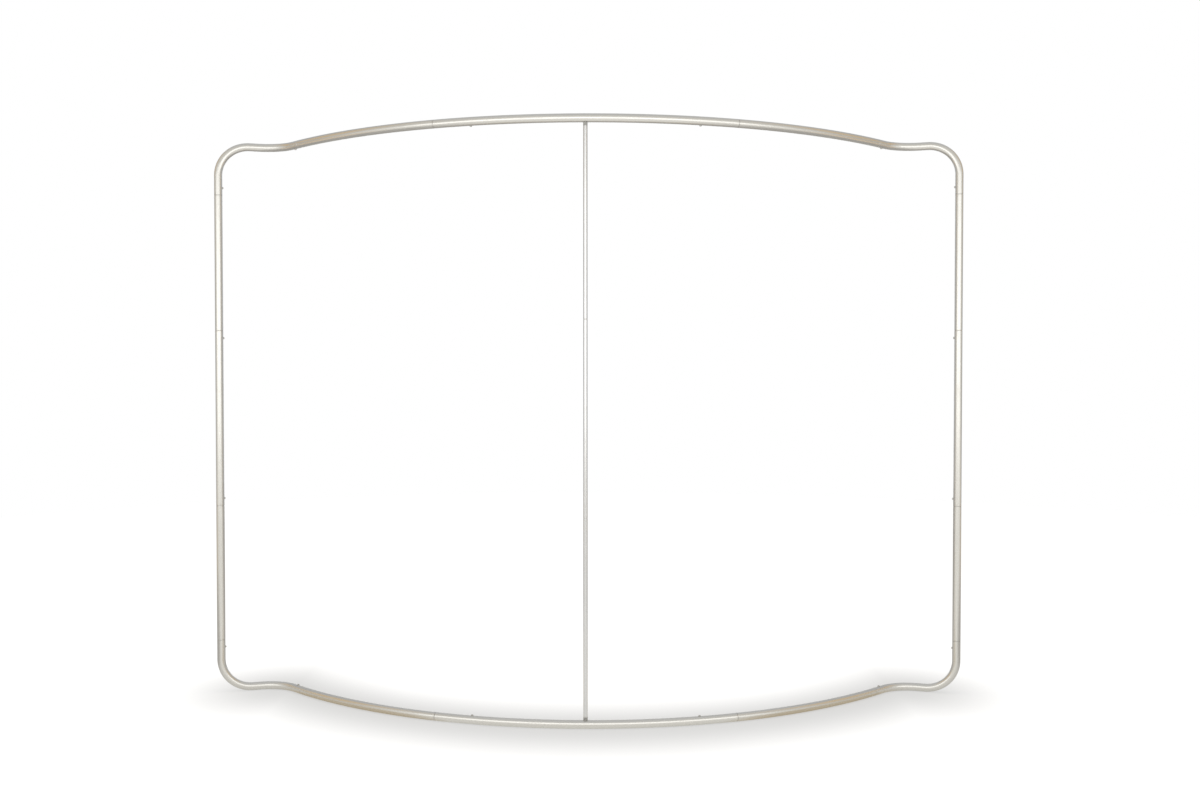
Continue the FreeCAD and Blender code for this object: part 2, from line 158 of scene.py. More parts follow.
def upright_length(height):
    """The length along the loop of a height on the right upright."""
    return UPRIGHT_START + height - TUBE_RADIUS - CORNER_RADIUS


solid_low, solid_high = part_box("upright_right_middle")
offset = loop_place(upright_length(1.0)).translation - (solid_low + solid_high) / 2
print(f"the line is {1000 * offset.to_2d().length:.3f} mm from the axis of the solid upright")

# %% [markdown]
# ## A tube that knows its length
#
# Real tube is drawn through a die, so its finish runs along it, also round the bends. To shade that, each
# vertex keeps the place it had before the tube was bent: two coordinates across the tube and one along it.
# A swept curve gives no such coordinate round the bore and the rims, so the mesh is made ring by ring. The
# cut ends are rounded by most of a millimetre, as a deburring tool leaves them, and that is what makes a
# seam catch the light.

# %% Rings along a tube
SIDES = 48
RIM_ROUND = 0.0008
BORE_ROUND = 0.0003
RIM_ANGLES = (30, 60, 90)
WINDOW_STEP = 0.004
WINDOW_ROWS = 2
WINDOW_SIDES = 4
CLEAR_SHARE = 0.7


def by_a_hole(length, holes):
    """Whether a length along the tube lies in the window of a hole."""
    return any(abs(length - middle) < WINDOW_STEP * WINDOW_ROWS for middle, radius in holes)


def wall_rows(start, end, step, holes):
    """Where the wall gets a ring: even steps, with rings of their own at the rims and round the holes."""
    fixed = [start + RIM_ROUND, start + 3 * RIM_ROUND, end - 3 * RIM_ROUND, end - RIM_ROUND]
    spans = range(-WINDOW_ROWS, WINDOW_ROWS + 1)
    windows = [middle + WINDOW_STEP * span for middle, radius in holes for span in spans]
    count = max(1, round((end - start) / step))
    even = [start + (end - start) * index / count for index in range(1, count)]
    clear = min(step, WINDOW_STEP) * CLEAR_SHARE
    free = [row for row in even if min(abs(row - other) for other in fixed + windows) > clear]
    return sorted(fixed + windows + [row for row in free if not by_a_hole(row, holes)])


def rim_profile(end, way, outer, bore):
    """The rounded edge of a cut end, from the outer wall to the bore, as pairs of length and radius."""
    edge = []
    for angle in map(math.radians, RIM_ANGLES):
        length = end - way * RIM_ROUND * (1 - math.sin(angle))
        edge.append((length, outer - RIM_ROUND * (1 - math.cos(angle))))
    return edge + [(end, bore + BORE_ROUND)]


def wall_profile(rows, start, end, outer, bore):
    """Once round the wall: along the outside, over a rim, back through the bore and over the other rim."""
    bore_rows = [start + BORE_ROUND] + rows[1:-1] + [end - BORE_ROUND]
    outside = [(row, outer) for row in rows] + rim_profile(end, 1, outer, bore)
    inside = [(row, bore) for row in reversed(bore_rows)]
    return outside + inside + rim_profile(start, -1, outer, bore)[::-1]


print("points on a rim:", len(rim_profile(1.0, 1, TUBE_RADIUS, TUBE_BORE)))


# %% A tube's vertices
class TubeMesh:
    """The vertices of a tube between two lengths along a line, with button holes in its inner side."""

    def __init__(self, place, start, end, step, radii, holes):
        self.place, self.start, self.end, self.holes = place, start, end, holes
        self.outer, self.bore = radii
        self.mesh = bmesh.new()
        self.unbent = self.mesh.verts.layers.float_vector.new("tube_place")
        self.edge = self.mesh.verts.layers.float.new("edge_distance")
        self.rows = wall_rows(start, end, step, holes)
        self.profile = wall_profile(self.rows, start, end, *radii)
        self.grid = {}

    def new_vert(self, length, across, inwards):
        """A vertex at a length along the tube, with the distance to the nearest cut edge."""
        vert = self.mesh.verts.new(self.place(length) @ Vector((0, across, inwards)))
        vert[self.unbent] = (across, inwards, length - self.start)
        edges = [length - self.start, self.end - length]
        if inwards > 0:
            edges += [math.hypot(length - middle, across) - radius for middle, radius in self.holes]
        vert[self.edge] = max(0, min(edges))
        return vert

    def grid_vert(self, row, side):
        """A vertex of the grid, made when it is first asked for."""
        key = (row % len(self.profile), side % SIDES)
        if key not in self.grid:
            length, radius = self.profile[key[0]]
            angle = 2 * math.pi * key[1] / SIDES
            self.grid[key] = self.new_vert(length, radius * math.sin(angle), radius * math.cos(angle))
        return self.grid[key]


# %% A tube's walls
def in_window(tube, row, side):
    """Whether a face of the grid lies in the window of a hole."""
    length, radius = tube.profile[row]
    following, next_radius = tube.profile[(row + 1) % len(tube.profile)]
    if radius != next_radius or not -WINDOW_SIDES <= side < WINDOW_SIDES:
        return False
    return by_a_hole((length + following) / 2, tube.holes)


def add_walls(tube):
    """The outer wall, a rim, the bore and the other rim, as one grid that closes on itself."""
    for row in range(len(tube.profile)):
        for side in range(-SIDES // 2, SIDES // 2):
            if not in_window(tube, row, side):
                corners = ((row, side), (row, side + 1), (row + 1, side + 1), (row + 1, side))
                tube.mesh.faces.new([tube.grid_vert(*corner) for corner in corners])


# %% [markdown]
# ## Button holes
#
# A drilled hole could be cut with a boolean, but that leaves long thin faces that shade badly. It is made as
# a modeller would: a window of the grid is left out and bridged to rings of the hole, so that the rim stays
# round and the shading stays clean.

# %% A button hole
# each ring of a hole: how much wider than the hole, on which wall, and how far off that wall
HOLE_RINGS = (
    (0.0010, "outer", 0),
    (0.0004, "outer", 0),
    (0.0001, "outer", -0.0001),
    (0, "outer", -0.0004),
    (0, "bore", 0.0002),
    (0.0003, "bore", 0),
)


def window_border():
    """The border of a hole's window, in steps along and round the tube, in order."""
    rows, sides = WINDOW_ROWS, WINDOW_SIDES
    border = [(row, -sides) for row in range(-rows, rows)]
    border += [(rows, side) for side in range(-sides, sides)]
    border += [(row, sides) for row in range(rows, -rows, -1)]
    return border + [(-rows, side) for side in range(sides, -sides, -1)]


def hole_vert(tube, middle, radius, wall, lift, spot):
    """A vertex on a ring of the hole, in the direction of a spot on the window's border."""
    across = tube.outer * math.sin(2 * math.pi * spot[1] / SIDES)
    angle = math.atan2(across, WINDOW_STEP * spot[0])
    side = radius * math.sin(angle)
    inwards = math.sqrt(wall ** 2 - side ** 2) + lift
    return tube.new_vert(middle + radius * math.cos(angle), side, inwards)


def bridge(mesh, ring, following):
    """Faces between two rings of vertices. A ring of one vertex is a point."""
    count = max(len(ring), len(following))
    for side in range(count):
        after = (side + 1) % count
        corners = (ring[side % len(ring)], ring[after % len(ring)])
        corners += (following[after % len(following)], following[side % len(following)])
        mesh.faces.new(list(dict.fromkeys(corners)))


def add_hole(tube, middle, radius):
    """Bridge the window of the outer wall to the hole, and go through to the window of the bore."""
    border = window_border()
    first = min(range(len(tube.rows)), key=lambda row: abs(tube.rows[row] - middle))
    last = len(tube.profile) - 1 - (len(RIM_ANGLES) + 1) - first
    walls = {"outer": tube.outer, "bore": tube.bore}
    loops = [[tube.grid_vert(first + row, side) for row, side in border]]
    for wider, wall, lift in HOLE_RINGS:
        loops.append([hole_vert(tube, middle, radius + wider, walls[wall], lift, spot) for spot in border])
    loops.append([tube.grid_vert(last - row, side) for row, side in border])
    for loop, inner in zip(loops, loops[1:]):
        bridge(tube.mesh, loop, inner)


print("spots round a hole's window:", len(window_border()))


# %% A whole tube
def finished_mesh(name, mesh):
    """The mesh, with smooth faces that all look outwards."""
    bmesh.ops.recalc_face_normals(mesh, faces=mesh.faces)
    data = bpy.data.meshes.new(name)
    mesh.to_mesh(data)
    mesh.free()
    data.polygons.foreach_set("use_smooth", [True] * len(data.polygons))
    return data


def tube_mesh(name, place, start, end, step, radii, holes=()):
    """A tube with its walls, rims and button holes."""
    tube = TubeMesh(place, start, end, step, radii, holes)
    add_walls(tube)
    for middle, radius in holes:
        add_hole(tube, middle, radius)
    return finished_mesh(name, tube.mesh)


# %% [markdown]
# ## From one quarter to the whole loop
#
# Each tube is made once, for the lower right quarter, and mirrored to its other places. A mirror modifier
# would keep the copies tied to one mesh, but here every copy is a piece with its own name, and its own part
# of the grain: the unbent coordinate is shifted for each copy, as if the tubes had been cut from different
# lengths of stock.

# %% Mirrored pieces
TO_LEFT = Matrix.Scale(-1, 4, (1, 0, 0))
TO_TOP = Matrix.Translation((0, 0, FRAME_HEIGHT)) @ Matrix.Scale(-1, 4, (0, 0, 1))
STOCK_SHIFT = 3.7
made = {}


def mirror_matrix(name):
    """The mirroring that takes a piece of the lower right quarter to the place that its name gives."""
    words = name.split("_")
    matrix = TO_LEFT if "left" in words else Matrix.Identity(4)
    return TO_TOP @ matrix if "top" in words or "upper" in words else matrix


def mirrored_mesh(data, name, matrix):
    """A copy of a mesh in another quarter of the frame."""
    copy = data.copy()
    copy.name = name
    copy.transform(matrix)
    if matrix.determinant() < 0:
        copy.flip_normals()
    return copy


def put_piece(name, data, body, slot, nodes, attribute=None):
    """Put a finished mesh in the scene as a piece that stands for nodes of the solid model."""
    if attribute:
        shift = STOCK_SHIFT * len(made)
        for item in data.attributes[attribute].data:
            item.vector.z += shift
    piece = bpy.data.objects.new(name, data)
    scene.collection.objects.link(piece)
    data.materials.append(finishes[slot])
    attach(piece, body)
    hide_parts(*nodes)
    made[name] = piece
    return piece


def put_mirrored(shape, nodes, ending, slot):
    """Put mirror images of a shape in the places of nodes of the frame, and let the shape go."""
    for node in nodes:
        data = mirrored_mesh(shape, node + ending, mirror_matrix(node))
        put_piece(node + ending, data, "frame", slot, [node], "tube_place")
    bpy.data.meshes.remove(shape)


print("top left:", mirror_matrix("top_left") @ loop_place(UPRIGHT_START).translation)

# %% [markdown]
# ## Finishes: shared effects
#
# Three things happen to the metal and the plastic here, so each is a node group that is built once. Drawing
# leaves fine lines along a tube. Cut edges are rubbed bare first, and the same edge group, set wider, also
# paints a darker band of seam shade and dirt beside them. Hands leave patches that are a little duller. The
# same could be painted on images, but noise keeps its detail from close by. Each group takes a coordinate in
# metres, so the detail has its real scale, and puts out values that a material mixes into its own colour,
# roughness and bump.

# %% Finishes: helpers
def add_node(tree, kind, settings=None, **inputs):
    """A node with settings, and with inputs that are plain values or sockets of other nodes."""
    node = tree.nodes.new(kind)
    for name, value in (settings or {}).items():
        setattr(node, name, value)
    for name, value in inputs.items():
        numbered = name[0] == "i" and name[1:].isdigit()
        socket = node.inputs[int(name[1:]) if numbered else name]
        if isinstance(value, bpy.types.NodeSocket):
            tree.links.new(value, socket)
        else:
            socket.default_value = value
    return node


def maths(tree, operation, first, second=0.0):
    """One sum, product or other operation on values."""
    return add_node(tree, "ShaderNodeMath", {"operation": operation}, i0=first, i1=second).outputs[0]


def times(tree, first, second):
    """The product of two values."""
    return maths(tree, "MULTIPLY", first, second)


def remap(tree, value, low, high, to_low=0.0, to_high=1.0):
    """A value moved smoothly from one range to another."""
    limits = {"From Min": low, "From Max": high, "To Min": to_low, "To Max": to_high}
    settings = {"interpolation_type": "SMOOTHSTEP"}
    return add_node(tree, "ShaderNodeMapRange", settings, Value=value, **limits).outputs["Result"]


def mix_colour(tree, share, first, second):
    """Two colours mixed by a share."""
    settings = {"data_type": "RGBA"}
    return add_node(tree, "ShaderNodeMix", settings, i0=share, i6=first, i7=second).outputs[2]


def split_axes(tree, place):
    """The three coordinates of a place or direction."""
    return add_node(tree, "ShaderNodeSeparateXYZ", Vector=place).outputs


def noise(tree, place, scale, detail=2.0, roughness=0.5):
    """Plain noise at a scale in spots to the metre."""
    settings = {"Vector": place, "Scale": scale, "Detail": detail, "Roughness": roughness}
    return add_node(tree, "ShaderNodeTexNoise", **settings).outputs["Fac"]


# %% Finishes: an empty group
VECTOR, FLOAT = "NodeSocketVector", "NodeSocketFloat"


def new_group(name, inputs, outputs):
    """An empty node group with named sockets."""
    tree = bpy.data.node_groups.new(name, "ShaderNodeTree")
    for socket, kind in inputs:
        tree.interface.new_socket(socket, in_out="INPUT", socket_type=kind)
    for socket in outputs:
        tree.interface.new_socket(socket, in_out="OUTPUT", socket_type=FLOAT)
    return tree, tree.nodes.new("NodeGroupInput").outputs, tree.nodes.new("NodeGroupOutput").inputs


# %% Finishes: drawn lines
LINE_STRETCH = 0.012
BAND_SHARE = 0.14

tree, given, put = new_group("drawn_lines", (("Place", VECTOR), ("Lines", FLOAT)), ("Fine", "Bands"))
drawn_lines = tree
axes = split_axes(tree, given["Place"])
stretched = times(tree, axes["Z"], LINE_STRETCH)
unrolled = add_node(tree, "ShaderNodeCombineXYZ", X=axes["X"], Y=axes["Y"], Z=stretched).outputs[0]
tree.links.new(noise(tree, unrolled, given["Lines"], detail=3.0, roughness=0.65), put["Fine"])
wide_lines = times(tree, given["Lines"], BAND_SHARE)
tree.links.new(noise(tree, unrolled, wide_lines), put["Bands"])
print("a fine line is", round(1 / LINE_STRETCH), "times as long as it is wide")

# %% Finishes: worn and shaded edges
NOISE_SPAN = (0.3, 0.7)
RAGGED_SPOTS = 420.0
RAGGED_SPAN = (0.25, 1.6)

edge_sockets = (("Place", VECTOR), ("Distance", FLOAT), ("Width", FLOAT))
tree, given, put = new_group("edge_wear_and_shade", edge_sockets, ("Mask",))
edge_wear_and_shade = tree
spots = noise(tree, given["Place"], RAGGED_SPOTS, detail=3.0, roughness=0.6)
ragged = remap(tree, spots, *NOISE_SPAN, *RAGGED_SPAN)
reach = times(tree, given["Width"], ragged)
# a mask that fades from a cut edge: real wear on the edges, and, set wider on the tubes, painted seam shade
# with dirt
tree.links.new(remap(tree, given["Distance"], 0.0, reach, 1.0, 0.0), put["Mask"])
print("wear reaches between", RAGGED_SPAN, "of its width")

# %% Finishes: hand marks
PATCH_SPAN = (0.48, 0.72)
SPECK_SPAN = (0.70, 0.80)
SPECKS_TO_A_PATCH = 40.0

tree, given, put = new_group("hand_marks", (("Place", VECTOR), ("Spots", FLOAT)), ("Mask", "Specks"))
hand_marks = tree
patches = noise(tree, given["Place"], given["Spots"], detail=4.0, roughness=0.6)
tree.links.new(remap(tree, patches, *PATCH_SPAN), put["Mask"])
close = noise(tree, given["Place"], times(tree, given["Spots"], SPECKS_TO_A_PATCH), detail=1.0)
tree.links.new(remap(tree, close, *SPECK_SPAN), put["Specks"])
print("node groups:", ", ".join(group.name for group in (drawn_lines, edge_wear_and_shade, hand_marks)))

# %% [markdown]
# ## Finishes: the metals and the plastic
#
# Anodised aluminium is a metal under a hard, slightly milky skin, so it is a metallic shader with a wide,
# soft gloss. A coat over bare metal could model both layers, but one soft gloss has fewer values to match.
# The numbers that are the same all over sit on the shader itself, and only what varies comes through nodes:
# the lines of the die, bare edges, a darker band beside them that paints the shade of the seams along with
# dirt, and the dulling by hands. The spigots keep the plain mill finish, scored where they slide. The
# buttons are turned steel, the springs are rolled strip, and the plugs of the pole are moulded in grey
# plastic with a fine grain.

# %% Finishes: a material and its inputs
finishes = {}


def new_material(name, metallic):
    """A material with a Principled shader, ready for its nodes."""
    material = bpy.data.materials.new(name)
    material.use_nodes = True
    tree = material.node_tree
    shader = tree.nodes["Principled BSDF"]
    shader.inputs["Metallic"].default_value = metallic
    return material, tree, shader


def use_group(tree, group, **inputs):
    """A placed node group."""
    return add_node(tree, "ShaderNodeGroup", {"node_tree": group}, **inputs).outputs


def mesh_value(tree, name, socket):
    """A value that the mesh keeps at each vertex."""
    return add_node(tree, "ShaderNodeAttribute", {"attribute_name": name}).outputs[socket]


def own_place(tree):
    """The place of a point in the frame, in metres."""
    return add_node(tree, "ShaderNodeTexCoord").outputs["Object"]


def dress(tree, shader, colour, rough, relief, strength, depth):
    """Lead a colour, a roughness and a relief of a depth in metres into the shader."""
    bump = add_node(tree, "ShaderNodeBump", Height=relief, Strength=strength, Distance=depth)
    tree.links.new(colour, shader.inputs["Base Color"])
    tree.links.new(rough, shader.inputs["Roughness"])
    tree.links.new(bump.outputs["Normal"], shader.inputs["Normal"])


# %% Finishes: aluminium tube
BARE_WIDTH = 0.0011
# the darker band beside the cut edges paints the shade of the seams along with dirt
SEAM_SHADE_AND_DIRT_WIDTH = 0.006
SEAM_SHADE_AND_DIRT_SHARE = 0.22
HAND_DULLING = 0.07
BARE_POLISH = -0.08
FINE_SPAN = (0.25, 0.75)
FINE_POLISH = 0.05
FINE_DULLING = 0.06


def drawn_aluminium(name, colours, gloss, lines):
    """Drawn tube: an anodised skin in two shades, painted seam shade and dirt beside its cut edges, and bare
    metal on them.
    """
    material, tree, shader = new_material(name, 1.0)
    place = mesh_value(tree, "tube_place", "Vector")
    distance = mesh_value(tree, "edge_distance", "Fac")
    grain = use_group(tree, drawn_lines, Place=place, Lines=lines)
    bare = use_group(tree, edge_wear_and_shade, Place=place, Distance=distance, Width=BARE_WIDTH)["Mask"]
    # painted shade of the seams, together with dirt: a darker band beside the cut edges and the holes
    seam_shade_and_dirt = use_group(tree, edge_wear_and_shade, Place=place, Distance=distance, Width=SEAM_SHADE_AND_DIRT_WIDTH)["Mask"]
    marks = use_group(tree, hand_marks, Place=place, Spots=9.0)
    bands = remap(tree, grain["Bands"], *NOISE_SPAN)
    skin = mix_colour(tree, bands, colours["skin"], colours["band"])
    skin_with_shade_and_dirt = mix_colour(tree, times(tree, seam_shade_and_dirt, SEAM_SHADE_AND_DIRT_SHARE), skin, colours["seam_shade_and_dirt"])
    shade = mix_colour(tree, bare, skin_with_shade_and_dirt, colours["bare"])
    drawn = remap(tree, grain["Fine"], *FINE_SPAN, gloss - FINE_POLISH, gloss + FINE_DULLING)
    dulled = maths(tree, "ADD", drawn, times(tree, marks["Mask"], HAND_DULLING))
    rough = maths(tree, "ADD", dulled, times(tree, bare, BARE_POLISH))
    relief = maths(tree, "ADD", grain["Fine"], marks["Specks"])
    dress(tree, shader, shade, rough, relief, strength=0.35, depth=0.00004)
    return material


# in each finish, the darker colour beside the cut edges paints seam shade along with dirt
SILVER = {
    "skin": (0.815, 0.805, 0.78, 1),
    "band": (0.85, 0.84, 0.815, 1),
    "seam_shade_and_dirt": (0.42, 0.40, 0.37, 1),
    "bare": (0.90, 0.89, 0.88, 1),
}
BRIGHT = {
    "skin": (0.785, 0.79, 0.805, 1),
    "band": (0.84, 0.845, 0.86, 1),
    "seam_shade_and_dirt": (0.45, 0.44, 0.42, 1),
    "bare": (0.90, 0.90, 0.89, 1),
}
finishes["tube_aluminium"] = drawn_aluminium("satin_tube", SILVER, gloss=0.27, lines=1500.0)
finishes["pole_aluminium"] = drawn_aluminium("bright_pole", BRIGHT, gloss=0.24, lines=2200.0)
print("tube finishes:", ", ".join(finishes))

# %% Finishes: spigots
SCORE_SPOTS = 900.0
SCORE_SPAN = (0.35, 0.65)
MILL_GLOSS = (0.36, 0.50)
MILL_DARK, MILL_LIGHT = (0.60, 0.60, 0.61, 1), (0.74, 0.74, 0.75, 1)


def mill_aluminium(name):
    """Tube as it left the mill, scored where it slides."""
    material, tree, shader = new_material(name, 1.0)
    place = own_place(tree)
    scores = noise(tree, place, SCORE_SPOTS, detail=4.0, roughness=0.7)
    marks = use_group(tree, hand_marks, Place=place, Spots=30.0)
    shade = mix_colour(tree, remap(tree, scores, *SCORE_SPAN), MILL_DARK, MILL_LIGHT)
    rough = remap(tree, marks["Mask"], 0.0, 1.0, *MILL_GLOSS)
    dress(tree, shader, shade, rough, scores, strength=0.4, depth=0.00005)
    return material


finishes["spigot_aluminium"] = mill_aluminium("mill_spigot")
print("score marks to the metre:", SCORE_SPOTS)

# %% Finishes: buttons and springs
LATHE_RINGS = 26000.0
BUTTON_CLEAN, BUTTON_TOUCHED = (0.62, 0.61, 0.59, 1), (0.50, 0.49, 0.47, 1)
BUTTON_GLOSS = (0.22, 0.36)
STRIP_GLOSS = (0.26, 0.40)
STRAW, GREY = (0.42, 0.39, 0.35, 1), (0.50, 0.49, 0.48, 1)


def turned_steel(name):
    """Steel with the fine rings of a lathe round the button's axis."""
    material, tree, shader = new_material(name, 1.0)
    place = mesh_value(tree, "turned_place", "Vector")
    axes = split_axes(tree, place)
    squares = [times(tree, axes[axis], axes[axis]) for axis in ("X", "Y")]
    radius = maths(tree, "SQRT", maths(tree, "ADD", *squares))
    path = maths(tree, "ADD", radius, axes["Z"])
    lathe = maths(tree, "SINE", times(tree, path, LATHE_RINGS))
    marks = use_group(tree, hand_marks, Place=place, Spots=300.0)
    shade = mix_colour(tree, marks["Mask"], BUTTON_CLEAN, BUTTON_TOUCHED)
    rough = remap(tree, marks["Mask"], 0.0, 1.0, *BUTTON_GLOSS)
    relief = maths(tree, "ADD", lathe, marks["Specks"])
    dress(tree, shader, shade, rough, relief, strength=0.25, depth=0.00002)
    return material


def rolled_strip(name):
    """Spring strip with lines along its length and a straw tint from tempering."""
    material, tree, shader = new_material(name, 1.0)
    place = mesh_value(tree, "tube_place", "Vector")
    grain = use_group(tree, drawn_lines, Place=place, Lines=3000.0)
    tint = mix_colour(tree, remap(tree, grain["Bands"], *NOISE_SPAN), STRAW, GREY)
    rough = remap(tree, grain["Fine"], *NOISE_SPAN, *STRIP_GLOSS)
    dress(tree, shader, tint, rough, grain["Fine"], strength=0.3, depth=0.00002)
    return material


finishes["button_steel"] = turned_steel("turned_button")
finishes["spring_steel"] = rolled_strip("rolled_spring")
print(f"lathe rings {1000 * 2 * math.pi / LATHE_RINGS:.2f} mm apart")

# %% Finishes: plugs
GRAIN_SPOTS = 2600.0
RUBBED_WIDTH = 0.0009
RUBBED_SHARE = 0.6
PLUG_CLEAN, PLUG_TOUCHED = (0.47, 0.47, 0.46, 1), (0.53, 0.53, 0.52, 1)
PLUG_RUBBED = (0.62, 0.62, 0.61, 1)
PLUG_GLOSS = (0.46, 0.62)


def moulded_plastic(name):
    """Grey plastic with the fine grain of a spark-eroded mould, rubbed paler on its edges."""
    material, tree, shader = new_material(name, 0.0)
    place = mesh_value(tree, "tube_place", "Vector")
    grain = noise(tree, place, GRAIN_SPOTS, roughness=0.6)
    edge = mesh_value(tree, "edge_distance", "Fac")
    rubbed = use_group(tree, edge_wear_and_shade, Place=place, Distance=edge, Width=RUBBED_WIDTH)["Mask"]
    marks = use_group(tree, hand_marks, Place=place, Spots=120.0)
    body = mix_colour(tree, marks["Mask"], PLUG_CLEAN, PLUG_TOUCHED)
    shade = mix_colour(tree, times(tree, rubbed, RUBBED_SHARE), body, PLUG_RUBBED)
    rough = remap(tree, grain, *NOISE_SPAN, *PLUG_GLOSS)
    dress(tree, shader, shade, rough, grain, strength=0.5, depth=0.00006)
    return material


finishes["plug_plastic"] = moulded_plastic("moulded_plug")
print("finishes:", ", ".join(finishes))

# %% [markdown]
# ## The sixteen tubes of the loop
#
# Five shapes make the whole loop: a centre rail, a side rail, a corner, an end upright and a middle upright.
# They could be one long sweep with painted seams, but real seams are gaps between deburred ends, so each
# tube is a piece of its own and they meet with a hair of a gap.

# %% The seams and the holes
SEAM = 0.00035
INNER_SEAM = 0.575
OUTER_SEAM = 1.265
CORNER_SEAM = upright_length(0.218)
MIDDLE_SEAM = upright_length(0.768)
FAR_SEAM = upright_length(1.482)
BUTTON_HOLE = 0.0043
STUD_HOLE = 0.0033
BUTTON_SETBACK = 0.030
RAIL_BUTTON = 0.427

END_BUTTON = OUTER_SEAM + BUTTON_SETBACK
CORNER_BUTTON = CORNER_SEAM - BUTTON_SETBACK
MIDDLE_BUTTON = MIDDLE_SEAM + BUTTON_SETBACK
FAR_BUTTON = FAR_SEAM - BUTTON_SETBACK
centre_holes = ((-RAIL_BUTTON, BUTTON_HOLE), (0.0, STUD_HOLE), (RAIL_BUTTON, BUTTON_HOLE))
corner_holes = ((END_BUTTON, BUTTON_HOLE), (CORNER_BUTTON, BUTTON_HOLE))
middle_holes = ((MIDDLE_BUTTON, BUTTON_HOLE), (FAR_BUTTON, BUTTON_HOLE))
print(f"a corner tube is {CORNER_SEAM - OUTER_SEAM:.3f} m long")

# %% The sixteen tubes
TUBE = (TUBE_RADIUS, TUBE_BORE)
RAIL_STEP = 0.023
CORNER_STEP = 0.0085
UPRIGHT_STEP = 0.09
TUBE_SHAPES = (
    (("bottom_rail_centre", "top_rail_centre"), -INNER_SEAM, INNER_SEAM, RAIL_STEP, centre_holes),
    (("bottom_rail_right", "bottom_rail_left", "top_rail_right", "top_rail_left"),
     INNER_SEAM, OUTER_SEAM, RAIL_STEP, ()),
    (("corner_bottom_right", "corner_bottom_left", "corner_top_right", "corner_top_left"),
     OUTER_SEAM, CORNER_SEAM, CORNER_STEP, corner_holes),
    (("upright_right_lower", "upright_left_lower", "upright_right_upper", "upright_left_upper"),
     CORNER_SEAM, MIDDLE_SEAM, UPRIGHT_STEP, ()),
    (("upright_right_middle", "upright_left_middle"), MIDDLE_SEAM, FAR_SEAM, UPRIGHT_STEP, middle_holes),
)

for nodes, start, end, step, holes in TUBE_SHAPES:
    shape = tube_mesh(nodes[0] + "_tube", loop_place, start + SEAM, end - SEAM, step, TUBE, holes)
    put_mirrored(shape, nodes, "_tube", "tube_aluminium")
print(len(made), "tubes,", sum(len(piece.data.polygons) for piece in made.values()), "faces")

# %% [markdown]
# ## The centre pole
#
# A thin pole holds the two rails apart, in three straight lengths with spigots of their own. A plain
# cylinder would do from afar, but it is the same kind of tube with a brighter, harder gloss, so the same
# maker builds it along a plain upright line.

# %% The centre pole
POLE = (0.008, 0.0068)
POLE_FOOT = 0.043
POLE_SECTION = 0.730
POLE_TOP = FRAME_HEIGHT - POLE_FOOT
POLE_STEP = 0.12


def pole_place(height):
    """The place on the pole at a height."""
    return place_matrix(Vector((0, RAIL_FRONT, height)), UP, Vector((-1, 0, 0)))


pole_seams = (POLE_FOOT, POLE_FOOT + POLE_SECTION, POLE_FOOT + 2 * POLE_SECTION, POLE_TOP)
for node, start, end in zip(("pole_lower", "pole_middle", "pole_upper"), pole_seams, pole_seams[1:]):
    data = tube_mesh(node + "_tube", pole_place, start + SEAM, end - SEAM, POLE_STEP, POLE)
    put_piece(node + "_tube", data, "frame", "pole_aluminium", [node], "tube_place")
print(f"pole from {POLE_FOOT} to {POLE_TOP:.3f} m")

# %% [markdown]
# ## Turned and moulded pieces
#
# A button is a small steel pin with a domed crown, and a plug is a grey collar with a saddle that sits on
# the rail. Both are round, so both are made by turning a profile. A spin or a screw modifier would turn a
# plain one. The plug needs more: its lower edge has to follow the rail, so here the height of a profile
# point may be a function that changes round the turn.

# %% Turned and moulded pieces
TURN_SIDES = 40
FAR_FROM_EDGES = 1.0


def turned_mesh(name, profile, place, layer_name, edges=()):
    """Turn a profile of radius and height about Z. A height may be a function of the way across the rail."""
    mesh = bmesh.new()
    own = mesh.verts.layers.float_vector.new(layer_name)
    edge = mesh.verts.layers.float.new("edge_distance")

    def new_vert(radius, height, angle):
        x, y = radius * math.cos(angle), radius * math.sin(angle)
        z = height(y) if callable(height) else height
        vert = mesh.verts.new(place @ Vector((x, y, z)))
        vert[own] = (x, y, z)
        vert[edge] = min([math.hypot(radius - at[0], z - at[1]) for at in edges] + [FAR_FROM_EDGES])
        return vert

    rings = []
    for radius, height in profile:
        angles = [2 * math.pi * side / TURN_SIDES for side in range(TURN_SIDES if radius else 1)]
        rings.append([new_vert(radius, height, angle) for angle in angles])
    for ring, following in zip(rings, rings[1:]):
        bridge(mesh, ring, following)
    return finished_mesh(name, mesh)


# %% [markdown]
# ## Buttons and their springs
#
# Pressing a button lets the next tube slide off its spigot. Each of the sixteen rides on its own body. Under
# it lies a hairpin of spring strip, one arm below the button and one along the far wall, and the hairpin
# closes when the button goes down. Each spring is made as a piece of its own, on the frame, with its own
# mesh.

# %% The button's profile
BUTTON_RADIUS = 0.004
BUTTON_BASE = 0.011716
BUTTON_TOP = TUBE_RADIUS + 0.004
BASE_CHAMFER = 0.0003
CROWN_HEIGHT = 0.0018
CROWN_STEPS = 9
CROWN_FULLNESS = 0.8
SHOULDER_RING = 0.0004


def button_profile():
    """The shank with a broken lower edge, and a crown that flattens towards its middle."""
    shoulder = BUTTON_TOP - CROWN_HEIGHT
    profile = [(0, BUTTON_BASE), (BUTTON_RADIUS - BASE_CHAMFER, BUTTON_BASE)]
    profile += [(BUTTON_RADIUS, BUTTON_BASE + BASE_CHAMFER), (BUTTON_RADIUS, shoulder - SHOULDER_RING)]
    for step in range(CROWN_STEPS):
        angle = math.pi / 2 * step / CROWN_STEPS
        radius = BUTTON_RADIUS * math.cos(angle) ** CROWN_FULLNESS
        profile.append((radius, shoulder + CROWN_HEIGHT * math.sin(angle)))
    return profile + [(0, BUTTON_TOP)]


print("points on a button's profile:", len(button_profile()))

